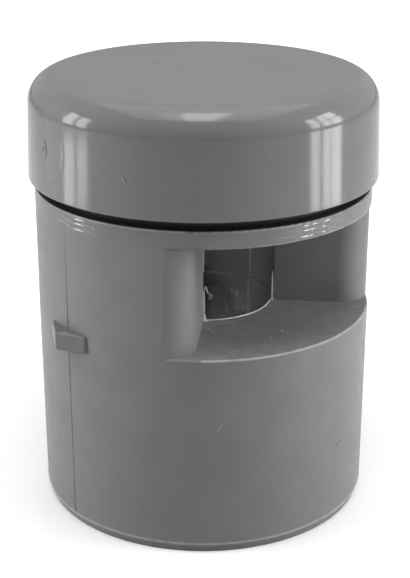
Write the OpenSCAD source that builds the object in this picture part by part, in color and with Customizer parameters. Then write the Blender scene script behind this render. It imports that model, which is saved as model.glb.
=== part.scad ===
// Air admittance valve for a drain stack: a moulded housing with two intake windows,
// a cap glued on its neck, and a gravity-closed membrane valve between them.
// The origin is the middle of the open lower end, and +Z points up to the cap.
// The four radial ribs lie on the X and Y axes.

/* [Spigot] */
// Outside diameter of the spigot that goes into a pipe socket
spigot_d = 50; // [44:0.5:64]
// Depth that goes into the socket, up to the stop nibs
spigot_depth = 29; // [24:0.5:45]
// Wall of the spigot and of the housing above it
wall = 3; // [2.6:0.1:4]
// Height of the lead-in chamfer at the open end
chamfer_h = 1.4; // [0.5:0.1:3]
// Depth of the lead-in chamfer
chamfer_w = 0.5; // [0.2:0.1:1.2]
// Rounding of the outer edges of the mouldings
edge_r = 0.3; // [0.15:0.05:0.6]

/* [Stop nibs] */
// Width of a nib along the wall
nib_w = 8.1; // [4:0.1:10]
// How far a nib's tip stands off the wall
nib_reach = 2.15; // [1:0.05:3]
// Height of a nib
nib_h = 2.4; // [1:0.1:4]
// Direction of the parting line that carries the nibs, in degrees from +X
nib_angle = 45; // [30:1:60]

/* [Housing] */
// How far the housing draws in from the spigot up to the shoulder, on the radius
shell_draft = 0.1; // [0.05:0.05:0.4]
// Height from the stop nibs' underside to the window floor
sill_h = 1.5; // [1:0.1:5]
// Clear height of the intake windows
intake_h = 15.9; // [10:0.1:25]
// Thickness of the radial ribs beside the windows
rib_t = 2; // [1.2:0.1:3]
// Rounding of the window jambs
jamb_r = 4.2; // [3.6:0.1:6]
// Thickness of the window floor
floor_t = 2; // [1:0.1:4]
// Thickness of the deck over the windows
deck_t = 2.6; // [1.5:0.1:5]
// Width of the shoulder round the neck
shoulder_w = 1.6; // [0.8:0.1:1.8]
// Wall of the neck
neck_wall = 1.2; // [0.8:0.1:2]
// Height of the neck above the shoulder
neck_h = 7.5; // [5:0.1:9]

/* [Central bore] */
// Diameter of the well and of the bore under the seat
bore_d = 20.5; // [16:0.1:22]
// Step between the bore and the wider chamber behind the windows
chamber_step = 0.35; // [0.1:0.05:0.8]
// Wall of the tube round the chamber and the well
tube_wall = 2; // [1.2:0.1:3]
// Depth of the blind well under the window floor
well_depth = 10; // [6:0.5:16]
// Height of the valve seat above the deck
seat_h = 2; // [1:0.1:3]
// Width of the seat's flat lip
seat_w = 1.6; // [1:0.1:2.4]

/* [Cap] */
// Gap between the shoulder and the cap's rim
cap_gap = 1.4; // [0.6:0.1:3]
// Overhang of the cap's rim past the housing
cap_overhang = 0.85; // [0.3:0.05:2]
// Height of the cap from rim to top
cap_h = 14.8; // [13:0.1:22]
// Draft of the cap's side in degrees
cap_draft = 2.1; // [0.5:0.1:4]
// Rounding of the cap's top edge
cap_edge_r = 4; // [2:0.1:5]
// Thickness of the cap's top
cap_top_t = 2.4; // [1.5:0.1:4]
// Rounding between the cap's side and its ceiling, inside
cap_inner_r = 2; // [0.5:0.1:3]
// Glue gap between the neck and the cap, on the radius
glue_gap = 0.05; // [0.02:0.01:0.2]

/* [Valve] */
// Lift of the valve from its seat
lift = 4; // [2:0.1:4.4]
// Room left past the end of the lift
lift_margin = 0.4; // [0.3:0.05:1]
// Diameter of the guide peg under the cap
guide_d = 4; // [3:0.1:6]
// Running clearance of the peg in the hub, on the radius
guide_clear = 0.1; // [0.05:0.01:0.2]
// Wall of the hub that slides on the peg
hub_wall = 1.3; // [0.8:0.1:2]
// Thickness of the hub's closed end
hub_floor_t = 1; // [0.6:0.1:2]
// Length of hub that shows below the retaining ring
hub_tip = 1.4; // [0.4:0.1:2]
// Thickness of the rubber membrane
membrane_t = 1.2; // [0.8:0.1:2]
// Overhang of the membrane past the seat
membrane_over = 1.35; // [0.6:0.05:2.5]
// Clearance of the membrane's hole round the hub
membrane_clear = 0.1; // [0.05:0.05:0.4]
// Thickness of the valve plate
plate_t = 1.6; // [1:0.1:2.5]
// Setback of the plate's edge from the membrane's edge
plate_setback = 0.8; // [0.3:0.1:2]
// Number of stiffening ribs on the plate
plate_ribs = 6; // [3:1:10]
// Thickness of a stiffening rib
plate_rib_t = 1; // [0.6:0.1:1.6]
// Height of the stiffening ribs at the hub
plate_rib_h = 2.4; // [1:0.1:3]
// Thickness of the retaining ring
ring_t = 1.4; // [0.8:0.1:2]
// Width of the retaining ring
ring_w = 3.6; // [1.5:0.1:4]

/* [Hidden] */
$fn = 128;
// Overshoot of a cut past the face that it opens
cut = 1;

// Radii of the housing, worked out from the spigot inwards and outwards
spigot_r = spigot_d / 2;
body_r = spigot_r - shell_draft;
pipe_r = spigot_r - wall;
duct_r = body_r - wall;
neck_r = body_r - shoulder_w;
room_r = neck_r - neck_wall;
bore_r = bore_d / 2;
well_tube_r = bore_r + tube_wall;
chamber_r = bore_r + chamber_step;
well_edge_r = min(edge_r, chamber_step / 2);
chamber_tube_r = chamber_r + tube_wall;
seat_r = bore_r + seat_w;

// Heights, each from the one below it
floor_z = spigot_depth + sill_h;
well_z = floor_z - well_depth;
ceiling_z = floor_z + intake_h;
shoulder_z = ceiling_z + deck_t;
seat_z = shoulder_z + seat_h;
neck_z = shoulder_z + neck_h;
rim_z = shoulder_z + cap_gap;
top_z = rim_z + cap_h;
cap_ceiling_z = top_z - cap_top_t;

// Cap radii
rim_r = body_r + cap_overhang;
socket_r = neck_r + glue_gap;

// Valve, stacked up and down from the seat
guide_r = guide_d / 2;
hub_bore_r = guide_r + guide_clear;
hub_r = hub_bore_r + hub_wall;
membrane_r = seat_r + membrane_over;
plate_r = membrane_r - plate_setback;
plate_z = seat_z + membrane_t;
plate_top_z = plate_z + plate_t;
ring_z = seat_z - ring_t;
hub_z = ring_z - hub_tip;
hub_floor_z = hub_z + hub_floor_t;
hub_top_z = cap_ceiling_z - lift - lift_margin;
peg_z = hub_floor_z + lift + lift_margin;

// Outside radius of the drafted shell at a height
function shell_r(z) =
    spigot_r - shell_draft * (z - spigot_depth) / (shoulder_z - spigot_depth);

// A tube on the Z axis between two heights
module ring_between(z0, z1, r_out, r_in) {
    translate([0, 0, z0])
        linear_extrude(z1 - z0)
            difference() {
                circle(r_out);
                circle(r_in);
            }
}

// A round bar on the Z axis between two heights
module bar_between(z0, z1, r) {
    translate([0, 0, z0]) cylinder(h = z1 - z0, r = r);
}

// Centre of a rounding that touches the line x = edge and the circle of this radius from inside
function corner_centre(radius, edge, corner) =
    let (x = edge - corner) [x, -sqrt((radius - corner) ^ 2 - x ^ 2)];

// The corner that a rounding replaces, seen from its centre between its two points of contact
module corner_sector(centre, corner) {
    reach = 2 * corner;
    outward = centre / norm(centre);
    polygon([centre, centre + [reach, 0], centre + [reach, -reach], centre + reach * outward]);
}

// The round slice that takes the corner's place
module corner_slice(centre, corner) {
    intersection() {
        translate(centre) circle(corner);
        corner_sector(centre, corner);
    }
}

// A quarter of a disc, bounded by x = edge and y = edge, with its two outer corners rounded
module rounded_quarter(radius, edge, corner) {
    centre = corner_centre(radius, edge, corner);
    difference() {
        intersection() {
            circle(radius);
            translate([edge - 2 * radius, edge - 2 * radius]) square(2 * radius);
        }
        corner_sector(centre, corner);
        mirror([1, -1]) corner_sector(centre, corner);
    }
    corner_slice(centre, corner);
    mirror([1, -1]) corner_slice(centre, corner);
}

// The same shape on both duct sides of the housing
module both_ducts() {
    for (turn = [0, 180]) rotate(turn) children();
}

// Outside of the housing: chamfered spigot, drafted shell and neck
module housing_outside() {
    rotate_extrude()
        polygon([
            [0, 0], [spigot_r - chamfer_w, 0], [spigot_r, chamfer_h], [spigot_r, spigot_depth],
            [body_r, shoulder_z], [neck_r, shoulder_z], [neck_r, neck_z], [0, neck_z]
        ]);
}

// A nib on the parting line that stops the socket: three-sided in plan
module stop_nib() {
    base_x = sqrt(spigot_r ^ 2 - (nib_w / 2) ^ 2);
    root_x = spigot_r - wall / 2;
    translate([0, 0, spigot_depth])
        linear_extrude(nib_h)
            polygon([[spigot_r + nib_reach, 0], [base_x, nib_w / 2], [root_x, 0], [base_x, -nib_w / 2]]);
}

// Open pipe end round the outside of the well
module pipe_end() {
    difference() {
        bar_between(-cut, floor_z - floor_t, pipe_r);
        bar_between(well_z - floor_t, floor_z, well_tube_r);
    }
}

// Two ducts that lead from the pipe end past the windows to the valve chamber
module ducts() {
    translate([0, 0, floor_z - floor_t - cut])
        linear_extrude(shoulder_z - floor_z + floor_t + 2 * cut)
            both_ducts()
                difference() {
                    rounded_quarter(duct_r, -rib_t / 2, jamb_r - wall);
                    circle(chamber_tube_r);
                }
}

// What rounds a round edge at this radius and height; out and up (1 or -1) point away from the solid
module edge_rounding(radius, z, out, up, rounding) {
    reach = rounding + cut;
    rotate_extrude()
        translate([radius - out * rounding, z - up * rounding])
            difference() {
                translate([out > 0 ? 0 : -reach, up > 0 ? 0 : -reach]) square(reach);
                circle(rounding);
            }
}

// What rounds the upright edge between a rib's face and the chamber wall
module rib_edge_rounding() {
    x = rib_t / 2 - edge_r;
    centre = [x, -sqrt((chamber_r + edge_r) ^ 2 - x ^ 2)];
    reach = 2 * edge_r;
    inward = -centre / norm(centre);
    difference() {
        polygon([centre, centre + [reach, 0], centre + [reach, reach], centre + reach * inward]);
        translate(centre) circle(edge_r);
    }
}

// Plan of the windows: what is left of the disc between the rounded duct walls
module window_plan() {
    difference() {
        circle(spigot_r + cut);
        both_ducts() rounded_quarter(spigot_r, rib_t / 2, jamb_r);
    }
}

// Two intake windows, with their outer edges and the inner edges of their ribs rounded
module intake_windows() {
    translate([0, 0, floor_z])
        linear_extrude(intake_h) {
            window_plan();
            both_ducts() {
                rib_edge_rounding();
                mirror([1, -1]) rib_edge_rounding();
            }
        }
    intersection() {
        union() {
            edge_rounding(shell_r(floor_z), floor_z, 1, 1, edge_r);
            edge_rounding(shell_r(ceiling_z), ceiling_z, 1, -1, edge_r);
        }
        translate([0, 0, floor_z - edge_r]) linear_extrude(intake_h + 2 * edge_r) window_plan();
    }
}

// Blind well, chamber behind the windows, and bore up to the seat
module central_bore() {
    bar_between(well_z, neck_z + cut, bore_r);
    bar_between(floor_z, ceiling_z, chamber_r);
    edge_rounding(bore_r, floor_z, -1, 1, well_edge_r);
}

// Room inside the neck, round and above the seat
module valve_room() {
    difference() {
        bar_between(shoulder_z, neck_z + cut, room_r);
        bar_between(shoulder_z - cut, seat_z, seat_r);
    }
}

module body() {
    color("#7c7d7d") {
        difference() {
            housing_outside();
            pipe_end();
            ducts();
            intake_windows();
            central_bore();
            valve_room();
            edge_rounding(body_r, shoulder_z, 1, 1, edge_r);
        }
        for (turn = [0, 180]) rotate(nib_angle + turn) stop_nib();
    }
}

// Cap section: drafted side, rounded edge and flat top, from the axis outwards
module cap_outside() {
    side = [cos(cap_draft), sin(cap_draft)];
    edge_z = top_z - cap_edge_r;
    edge_x = (side * [rim_r, rim_z] - cap_edge_r - side.y * edge_z) / side.x;
    edge = [edge_x, edge_z];
    polygon([[0, rim_z], [rim_r, rim_z], edge + cap_edge_r * side, edge, [edge_x, top_z], [0, top_z]]);
    translate(edge) circle(cap_edge_r);
}

// Hollow of the cap: a socket for the neck, and the valve room above it
module cap_inside() {
    corner = [room_r - cap_inner_r, cap_ceiling_z - cap_inner_r];
    translate([0, rim_z - cut]) square([socket_r, neck_z - rim_z + cut]);
    translate([0, rim_z]) square([room_r, corner.y - rim_z]);
    translate([0, rim_z]) square([corner.x, cap_ceiling_z - rim_z]);
    translate(corner) circle(cap_inner_r);
}

module cap() {
    color("#7c7d7d") {
        difference() {
            rotate_extrude()
                difference() {
                    cap_outside();
                    cap_inside();
                }
            edge_rounding(rim_r, rim_z, 1, -1, edge_r);
        }
        bar_between(peg_z, cap_ceiling_z + cap_top_t / 2, guide_r);
    }
}

// A stiffening rib that falls from the hub to the plate's edge
module plate_rib() {
    root_x = hub_bore_r + hub_wall / 2;
    tip_x = plate_r - plate_rib_t;
    root_z = plate_z + plate_t / 2;
    rotate([90, 0, 0])
        translate([0, 0, -plate_rib_t / 2])
            linear_extrude(plate_rib_t)
                polygon([
                    [root_x, root_z], [tip_x, root_z],
                    [tip_x, plate_top_z], [root_x, plate_top_z + plate_rib_h]
                ]);
}

module valve_plate() {
    color("#d8d8d4")
        difference() {
            union() {
                bar_between(plate_z, plate_top_z, plate_r);
                bar_between(hub_z, hub_top_z, hub_r);
                for (i = [0 : plate_ribs - 1]) rotate(i * 360 / plate_ribs) plate_rib();
            }
            bar_between(hub_floor_z, hub_top_z + cut, hub_bore_r);
        }
}

module membrane() {
    color("#232323") ring_between(seat_z, plate_z, membrane_r, hub_r + membrane_clear);
}

module retaining_ring() {
    color("#d8d8d4") ring_between(ring_z, seat_z, hub_r + ring_w, hub_r);
}

body();
cap();
valve_plate();
membrane();
retaining_ring();
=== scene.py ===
"""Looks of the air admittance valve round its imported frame: finishes, moulding marks, crumbs and studio."""

import logging
import math
from collections.abc import Callable, Iterator, Sequence
from contextlib import contextmanager
from dataclasses import dataclass
from enum import Enum
from typing import Any

import bmesh
import bpy
from mathutils import Matrix, Vector


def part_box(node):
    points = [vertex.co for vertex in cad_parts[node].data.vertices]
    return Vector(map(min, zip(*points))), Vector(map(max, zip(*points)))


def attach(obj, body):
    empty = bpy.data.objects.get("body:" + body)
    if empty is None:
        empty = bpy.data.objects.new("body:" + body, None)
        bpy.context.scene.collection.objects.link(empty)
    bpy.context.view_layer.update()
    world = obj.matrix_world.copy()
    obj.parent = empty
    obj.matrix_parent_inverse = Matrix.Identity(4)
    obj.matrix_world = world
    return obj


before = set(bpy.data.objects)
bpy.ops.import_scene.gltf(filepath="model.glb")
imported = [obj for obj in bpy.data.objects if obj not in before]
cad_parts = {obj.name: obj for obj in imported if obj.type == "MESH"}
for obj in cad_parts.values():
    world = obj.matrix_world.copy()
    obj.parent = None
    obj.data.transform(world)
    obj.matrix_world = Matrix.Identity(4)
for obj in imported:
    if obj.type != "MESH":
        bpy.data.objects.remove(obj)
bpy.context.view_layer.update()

log = logging.getLogger("air_admittance_valve")

# Short names of Blender's types
Tree, Socket = bpy.types.NodeTree, bpy.types.NodeSocket
Piece, Material = bpy.types.Object, bpy.types.Material

# One millimetre in Blender's metres
MM = 0.001
# Width and height of the picture in pixels
PICTURE = (410, 578)
# Body that the added pieces ride on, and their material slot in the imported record
BODY, SLOT = "housing", "housing_pvc"
# Edges over the first angle are rounded, and those over the second stay sharp in the shading, in degrees
ROUND_ANGLE, SHARP_ANGLE = 30, 50
# Sockets of a Mix node that blends colours
MIX_A, MIX_B, MIX_OUT = 6, 7, 2

# Heights and radii that the frame gives, in millimetres
SPIGOT_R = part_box("body")[1].x / MM
CAP_RIM_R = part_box("cap")[1].x / MM
CAP_RIM_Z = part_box("cap")[0].z / MM
CAP_TOP_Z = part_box("cap")[1].z / MM
# Heights and sizes that the frame's boxes don't give, in millimetres
STOP_Z = 29.0
WINDOW_FLOOR_Z = 30.5
SHOULDER_Z = 49.0
WALL_DRAFT = 0.1
NIB_W, NIB_H, NIB_REACH = 8.1, 2.4, 2.15
CAP_DRAFT = 2.1


class PartingLine(Enum):
    """Directions of the mould's two parting lines, in degrees from +X."""

    FRONT = 225.0
    REAR = 45.0


class Shine(Enum):
    """What a studio light gives: light and highlights, even light alone, or highlights alone."""

    FULL = "full"
    SOFT = "soft"
    HIGHLIGHT = "highlight"


def mm(x: float, y: float, z: float) -> Vector:
    """Return a place or size given in millimetres as a vector in metres."""
    return Vector((x, y, z)) * MM


def around(radius: float, degrees: float, z: float) -> Vector:
    """Return a place in metres from a radius, a direction and a height.

    Args:
        radius: distance from the part's axis in millimetres.
        degrees: direction in degrees from +X.
        z: height in millimetres.

    Returns:
        The place in metres.
    """
    turn = math.radians(degrees)
    return mm(radius * math.cos(turn), radius * math.sin(turn), z)


def wall_radius(z: float) -> float:
    """Return the housing wall's outside radius at a height, in millimetres."""
    return SPIGOT_R - WALL_DRAFT * max(0.0, z - STOP_Z) / (SHOULDER_Z - STOP_Z)


def cap_radius(z: float) -> float:
    """Return the outside radius of the cap's drafted side at a height, in millimetres."""
    return CAP_RIM_R - (z - CAP_RIM_Z) * math.tan(math.radians(CAP_DRAFT))


def linear(hex_colour: str) -> tuple[float, float, float, float]:
    """Turn an sRGB hex colour into linear red, green, blue and alpha.

    Args:
        hex_colour: colour such as "#7c7d7d".

    Returns:
        Linear RGBA with an alpha of 1.
    """
    channels = [int(hex_colour[i : i + 2], 16) / 255 for i in (1, 3, 5)]
    red, green, blue = (c / 12.92 if c <= 0.04045 else ((c + 0.055) / 1.055) ** 2.4 for c in channels)
    return red, green, blue, 1.0


def pattern_scale(size_mm: float) -> float:
    """Return the texture scale on Object coordinates whose features have this size in millimetres."""
    return 1.0 / (size_mm * MM)


def add_node(
    tree: Tree, kind: str, inputs: dict[str | int, Any] | None = None, **settings: Any
) -> bpy.types.Node:
    """Add a node with its settings, values and links.

    Args:
        tree: node tree that gets the node.
        kind: Blender's name of the node type, without ShaderNode before it.
        inputs: value, or output socket to link, for each input by name or index.
        settings: properties of the node itself.

    Returns:
        The new node.
    """
    node = tree.nodes.new(f"ShaderNode{kind}")
    for name, value in settings.items():
        setattr(node, name, value)
    for key, value in (inputs or {}).items():
        if isinstance(value, Socket):
            tree.links.new(value, node.inputs[key])
        else:
            node.inputs[key].default_value = value
    return node


def blank_material(name: str) -> tuple[Material, Tree, bpy.types.Node]:
    """Make a node material with nothing but a shader and an output.

    Args:
        name: the material's name.

    Returns:
        The material, its node tree and its Principled shader.
    """
    material = bpy.data.materials.new(name)
    material.use_nodes = True
    tree = material.node_tree
    tree.nodes.clear()
    shader = add_node(tree, "BsdfPrincipled")
    add_node(tree, "OutputMaterial", {"Surface": shader.outputs["BSDF"]})
    return material, tree, shader


@contextmanager
def editing(piece: Piece, mode: str = "FACE") -> Iterator[None]:
    """Hold one piece in edit mode with all of it selected, and turn its faces outwards at the end.

    Args:
        piece: the mesh object to edit.
        mode: kind of selection, VERT or FACE.

    Yields:
        Nothing, while the piece is in edit mode.
    """
    activate(piece)
    bpy.ops.object.mode_set(mode="EDIT")
    bpy.ops.mesh.select_mode(type=mode)
    bpy.ops.mesh.select_all(action="SELECT")
    yield
    bpy.ops.mesh.select_all(action="SELECT")
    bpy.ops.mesh.normals_make_consistent(inside=False)
    bpy.ops.object.mode_set(mode="OBJECT")


def activate(piece: Piece) -> None:
    """Select one object alone and make it the active one.

    Args:
        piece: the object.
    """
    bpy.ops.object.select_all(action="DESELECT")
    piece.select_set(True)
    bpy.context.view_layer.objects.active = piece


def pick(piece: Piece, test: Callable[[bmesh.types.BMVert], bool]) -> None:
    """Select the points of an edited mesh that pass a test.

    Args:
        piece: the mesh object in edit mode.
        test: says whether a point is picked.
    """
    bpy.ops.mesh.select_all(action="DESELECT")
    mesh = bmesh.from_edit_mesh(piece.data)
    for vert in mesh.verts:
        vert.select_set(test(vert))
    mesh.select_flush_mode()
    bmesh.update_edit_mesh(piece.data)


def started(name: str) -> Piece:
    """Name the mesh object that was just added, and settle it.

    Args:
        name: name of the object and its mesh.

    Returns:
        The object.
    """
    piece = bpy.context.object
    piece.name = name
    piece.data.name = name
    settle(piece)
    return piece


def settle(piece: Piece) -> None:
    """Move a piece's place into its mesh, so that its object sits at the origin."""
    activate(piece)
    bpy.ops.object.transform_apply(location=True, rotation=True, scale=True)


def turned(piece: Piece, degrees: float) -> Piece:
    """Turn a piece about the part's axis.

    Args:
        piece: the piece to turn.
        degrees: angle in degrees, from above and against the clock.

    Returns:
        The same piece.
    """
    piece.rotation_euler.z = math.radians(degrees)
    settle(piece)
    return piece


def lay(piece: Piece, place: Vector, along: Vector, out: Vector, size: Sequence[float]) -> None:
    """Lay a small piece on a surface and settle it there.

    Args:
        piece: piece modelled about the origin, a millimetre long in X and upright in Z.
        place: point of the surface in metres.
        along: direction that its length takes.
        out: direction that leaves the surface.
        size: length, width and height in millimetres.
    """
    length = along.normalized()
    across = out.cross(length).normalized()
    axes = Matrix((length, across, length.cross(across))).transposed().to_4x4()
    piece.matrix_world = Matrix.Translation(place) @ axes @ Matrix.Diagonal((*size, 1.0))
    settle(piece)


def copy_of(piece: Piece, name: str) -> Piece:
    """Copy a piece with a mesh of its own.

    Args:
        piece: the piece to copy.
        name: the copy's name.

    Returns:
        The copy.
    """
    activate(piece)
    bpy.ops.object.duplicate(linked=False)
    return started(name)


def join(pieces: Sequence[Piece], name: str) -> Piece:
    """Join several pieces into one.

    Args:
        pieces: what to join; the first keeps its object.
        name: name of the joined piece.

    Returns:
        The joined piece.
    """
    activate(pieces[0])
    for piece in pieces[1:]:
        piece.select_set(True)
    bpy.ops.object.join()
    return started(name)


def apply_modifier(piece: Piece, kind: str, **settings: Any) -> None:
    """Add a modifier to a piece and apply it.

    Args:
        piece: the piece to change.
        kind: Blender's name of the modifier type.
        settings: properties of the modifier.
    """
    activate(piece)
    modifier = piece.modifiers.new(kind.title(), kind)
    for name, value in settings.items():
        setattr(modifier, name, value)
    bpy.ops.object.modifier_apply(modifier=modifier.name)


def dress(piece: Piece, material: Material) -> None:
    """Give a piece or a node of the frame this one material."""
    piece.data.materials.clear()
    piece.data.materials.append(material)


@dataclass
class Surface:
    """A finish's node tree, and what its patterns know of each point on the surface.

    Place is the point in Object coordinates, plan is the same without its height, and radius is the
    distance from the part's axis.
    """

    tree: Tree
    place: Socket
    plan: Socket
    radius: Socket
    z: Socket

    @classmethod
    def of(cls, tree: Tree) -> "Surface":
        """Add the nodes that tell where each point is.

        Args:
            tree: node tree of the material.

        Returns:
            The surface.
        """
        place = add_node(tree, "TexCoord").outputs["Object"]
        axes = add_node(tree, "SeparateXYZ", {"Vector": place}).outputs
        plan = add_node(tree, "CombineXYZ", {"X": axes["X"], "Y": axes["Y"]}).outputs["Vector"]
        radius = add_node(tree, "VectorMath", {0: plan}, operation="LENGTH").outputs["Value"]
        return cls(tree, place, plan, radius, axes["Z"])

    def between(self, value: Socket, low: float, high: float, blend: float) -> Socket:
        """Return a value that is 1 between two lengths and 0 outside.

        Args:
            value: length in metres to look at.
            low: lower end in millimetres.
            high: upper end in millimetres.
            blend: half the width of the blend at each end, in millimetres.

        Returns:
            The mask.
        """
        steps = []
        for end, edge in ((low, blend), (high, -blend)):
            limits = {"Value": value, "From Min": (end - edge) * MM, "From Max": (end + edge) * MM}
            steps.append(add_node(self.tree, "MapRange", limits).outputs["Result"])
        return add_node(self.tree, "Math", dict(enumerate(steps)), operation="MULTIPLY").outputs[0]

    def noise(self, size: Sequence[float], detail: float) -> Socket:
        """Add a noise whose features have these sizes along X, Y and Z.

        Args:
            size: feature sizes in millimetres.
            detail: number of finer octaves.

        Returns:
            The noise value.
        """
        scale = Vector([pattern_scale(s) for s in size])
        spread = add_node(self.tree, "Mapping", {"Vector": self.place, "Scale": scale})
        inputs = {"Vector": spread.outputs["Vector"], "Scale": 1.0, "Detail": detail}
        return add_node(self.tree, "TexNoise", inputs).outputs["Fac"]


@dataclass(frozen=True)
class Layer:
    """Something that changes a moulded surface's colour, gloss or height in one place."""

    colour: str | None = None
    share: float = 1.0
    roughness: float | None = None
    depth_mm: float = 0.0

    def mask(self, at: Surface) -> Socket:
        """Return a value that is 1 where the layer lies and 0 elsewhere."""
        raise NotImplementedError

    def relief(self, at: Surface) -> Socket:
        """Return the layer's height as a share of its depth."""
        raise NotImplementedError


@dataclass(frozen=True)
class TurnedBand(Layer):
    """Fine rings that a trimming cutter left round the top of the housing."""

    roughness: float = 0.34
    depth_mm: float = 0.04
    low_z: float = 46.0
    high_z: float = 49.6
    blend: float = 0.8
    # Coarser than the cutter's own rings, so that they show
    ring_mm: float = 0.34
    run_mm: float = 16.0

    def mask(self, at: Surface) -> Socket:
        """Return 1 in the band that was trimmed."""
        return at.between(at.z, self.low_z, self.high_z, self.blend)

    def relief(self, at: Surface) -> Socket:
        """Return the rings' height in the band."""
        rings = at.noise((self.run_mm, self.run_mm, self.ring_mm), detail=4.0)
        return add_node(at.tree, "Math", {0: rings, 1: self.mask(at)}, operation="MULTIPLY").outputs[0]


@dataclass(frozen=True)
class EdgeWearAndHighlight(Layer):
    """Edges that trimming and handling left smoother than the walls between them, and paler along them,
    partly from wear and partly as a painted highlight on the rounded edges.

    Rings are a radius and a height, window rings only cross the windows, and posts are the X and Y of
    upright edges, all in millimetres.
    """

    # Pale colour along the edges: partly wear, partly a painted highlight
    colour: str = "#bcbdbd"
    share: float = 0.6
    roughness: float = 0.12
    rings: tuple[tuple[float, float], ...] = ((25.0, 1.4), (24.9, 49.0))
    window_rings: tuple[tuple[float, float], ...] = ((24.99, 30.5), (24.91, 46.4))
    posts: tuple[tuple[float, float], ...] = ((1.0, -10.55), (-1.0, 10.55))
    near: float = 0.15
    far: float = 0.32
    window_fade: float = 60.0
    break_mm: float = 1.8
    break_range: tuple[float, float] = (0.3, 0.55)
    least: float = 0.45

    def mask(self, at: Surface) -> Socket:
        """Return a value that is 1 along the worn edges with their painted highlight, in broken stretches.

        Args:
            at: the surface.

        Returns:
            The mask.
        """
        tree = at.tree
        section = add_node(tree, "CombineXYZ", {"X": at.radius, "Y": at.z}).outputs["Vector"]
        axes = add_node(tree, "SeparateXYZ", {"Vector": at.plan}).outputs
        quarter = add_node(tree, "Math", {0: axes["X"], 1: axes["Y"]}, operation="MULTIPLY").outputs[0]
        fade = -self.window_fade * MM**2
        limits = {"Value": quarter, "From Min": fade, "From Max": 0.0, "To Max": self.far * 2 * MM}
        outside = add_node(tree, "MapRange", limits).outputs["Result"]
        gaps = []
        for spots, origin, extra in (
            (self.rings, section, 0.0), (self.window_rings, section, outside), (self.posts, at.plan, 0.0)
        ):
            for spot in spots:
                ends = {0: origin, 1: mm(*spot, 0)}
                gap = add_node(tree, "VectorMath", ends, operation="DISTANCE").outputs["Value"]
                gaps.append(add_node(tree, "Math", {0: gap, 1: extra}, operation="ADD").outputs[0])
        nearest = gaps[0]
        for gap in gaps[1:]:
            nearest = add_node(tree, "Math", {0: nearest, 1: gap}, operation="MINIMUM").outputs[0]
        limits = {"Value": nearest, "From Min": self.far * MM, "From Max": self.near * MM}
        edge = add_node(tree, "MapRange", limits).outputs["Result"]
        low, high = self.break_range
        patches = at.noise((self.break_mm,) * 3, detail=3.0)
        limits = {"Value": patches, "From Min": low, "From Max": high, "To Min": self.least}
        broken = add_node(tree, "MapRange", limits).outputs["Result"]
        return add_node(tree, "Math", {0: edge, 1: broken}, operation="MULTIPLY").outputs[0]


@dataclass(frozen=True)
class NeckGapShade(Layer):
    """Painted shade on the neck and the shoulder in the gap under the cap, where the cap's shadow falls."""

    # Dark colour: painted shade in the gap under the cap
    colour: str = "#2c2d2d"
    low_z: float = 48.93
    inner_r: float = 22.7
    outer_r: float = 24.7
    blend: float = 0.06

    def mask(self, at: Surface) -> Socket:
        """Return 1 on the neck and the shoulder.

        Args:
            at: the surface.

        Returns:
            The mask.
        """
        ring = at.between(at.radius, self.inner_r, self.outer_r, self.blend)
        rise = at.between(at.z, self.low_z, CAP_TOP_Z, self.blend)
        return add_node(at.tree, "Math", {0: ring, 1: rise}, operation="MULTIPLY").outputs[0]


@dataclass(frozen=True)
class LevelDustAndShade(Layer):
    """Smears of colour on level faces at one height that cover part of them: pale dust on the window's floor,
    and dark painted shade on the nibs' level tops.
    """

    colour: str = "#a2a3a3"
    share: float = 0.35
    floor_z: float = WINDOW_FLOOR_Z
    reach: float = 0.1
    outer_r: float = 24.5
    patch_mm: float = 1.3
    bare: float = 0.6
    blend: float = 0.15

    def mask(self, at: Surface) -> Socket:
        """Return how much of the smears' colour lies on the level faces.

        Args:
            at: the surface.

        Returns:
            The mask.
        """
        inside = at.between(at.radius, 0.0, self.outer_r, self.reach)
        low, high = self.floor_z - self.reach, self.floor_z + self.reach
        height = at.between(at.z, low, high, self.reach / 4)
        level = add_node(at.tree, "Math", {0: inside, 1: height}, operation="MULTIPLY").outputs[0]
        patches = at.noise((self.patch_mm,) * 3, detail=6.0)
        limits = {"Value": patches, "From Min": self.bare - self.blend, "From Max": self.bare + self.blend}
        smears = add_node(at.tree, "MapRange", limits).outputs["Result"]
        return add_node(at.tree, "Math", {0: level, 1: smears}, operation="MULTIPLY").outputs[0]


@dataclass(frozen=True)
class GateHalo(Layer):
    """Shallow ripples that the gate left round itself on the cap."""

    depth_mm: float = 0.009
    place: tuple[float, float, float] = (-20.5, -15.1, 57.0)
    inner: float = 1.9
    outer: float = 5.2
    blend: float = 0.6
    ripple_mm: float = 1.35

    def _away(self, at: Surface) -> Socket:
        """Return the distance from the gate."""
        ends = {0: at.place, 1: mm(*self.place)}
        return add_node(at.tree, "VectorMath", ends, operation="DISTANCE").outputs["Value"]

    def mask(self, at: Surface) -> Socket:
        """Return 1 in a ring round the gate."""
        return at.between(self._away(at), self.inner, self.outer, self.blend)

    def relief(self, at: Surface) -> Socket:
        """Return the ripples' height.

        Args:
            at: the surface.

        Returns:
            The height.
        """
        turns = {0: self._away(at), 1: math.tau * pattern_scale(self.ripple_mm)}
        phase = add_node(at.tree, "Math", turns, operation="MULTIPLY").outputs[0]
        wave = add_node(at.tree, "Math", {0: phase}, operation="SINE").outputs[0]
        return add_node(at.tree, "Math", {0: wave, 1: self.mask(at)}, operation="MULTIPLY").outputs[0]


@dataclass(frozen=True)
class DullTop(Layer):
    """Level top of the cap, dulled by handling."""

    roughness: float = 0.5
    low_z: float = 64.85
    blend: float = 0.25

    def mask(self, at: Surface) -> Socket:
        """Return 1 on the level top."""
        return at.between(at.z, self.low_z, CAP_TOP_Z + 2 * self.blend, self.blend)


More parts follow.
